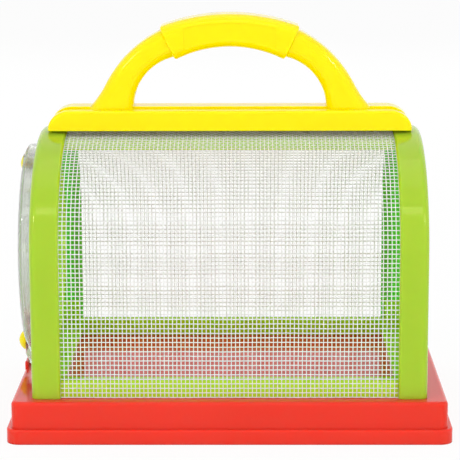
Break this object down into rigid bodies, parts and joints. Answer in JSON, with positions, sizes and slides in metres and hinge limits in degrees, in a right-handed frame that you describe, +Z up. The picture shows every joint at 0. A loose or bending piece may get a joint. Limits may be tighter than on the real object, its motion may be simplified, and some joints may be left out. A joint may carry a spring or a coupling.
{
  "type": "critter case",
  "caption": "Small arched carrying case for insects: stepped base, mesh screen bent over two end frames, handle on top, round clear door that swings on one pin.",
  "frame": {"origin": "middle of the base's underside, where its two ribs cross, on the table", "axes": "+X along the case, away from the end with the door; +Y to the back; +Z up"},
  "size_m": [0.1812, 0.1304, 0.1678],
  "materials": {
    "red_plastic": "glossy moulded",
    "green_plastic": "glossy moulded",
    "yellow_plastic": "glossy moulded",
    "clear_plastic": "clear moulded",
    "white_mesh": "woven thread",
    "screw_steel": "plated",
    "spring_steel": "spring steel"
  },
  "bodies": {
    "case": {"base_tray": "red_plastic", "door_end_frame": "green_plastic", "closed_end_frame": "green_plastic", "front_sill": "green_plastic", "rear_sill": "green_plastic", "roof_panel": "green_plastic", "screen": "white_mesh", "handle_front_half": "yellow_plastic", "handle_rear_half": "yellow_plastic", "door_pivot_pin": "yellow_plastic", "pivot_clip": "spring_steel", "base_screws": "screw_steel", "roof_screws": "screw_steel", "handle_screws": "screw_steel"},
    "door": {"door": "clear_plastic", "door_knob": "yellow_plastic"}
  },
  "joints": [
    {"name": "door_swing", "type": "hinge", "parent": "case", "child": "door", "pos_m": [-0.0803, 0, 0.1043], "axis": [1, 0, 0], "continuous": true}
  ]
}
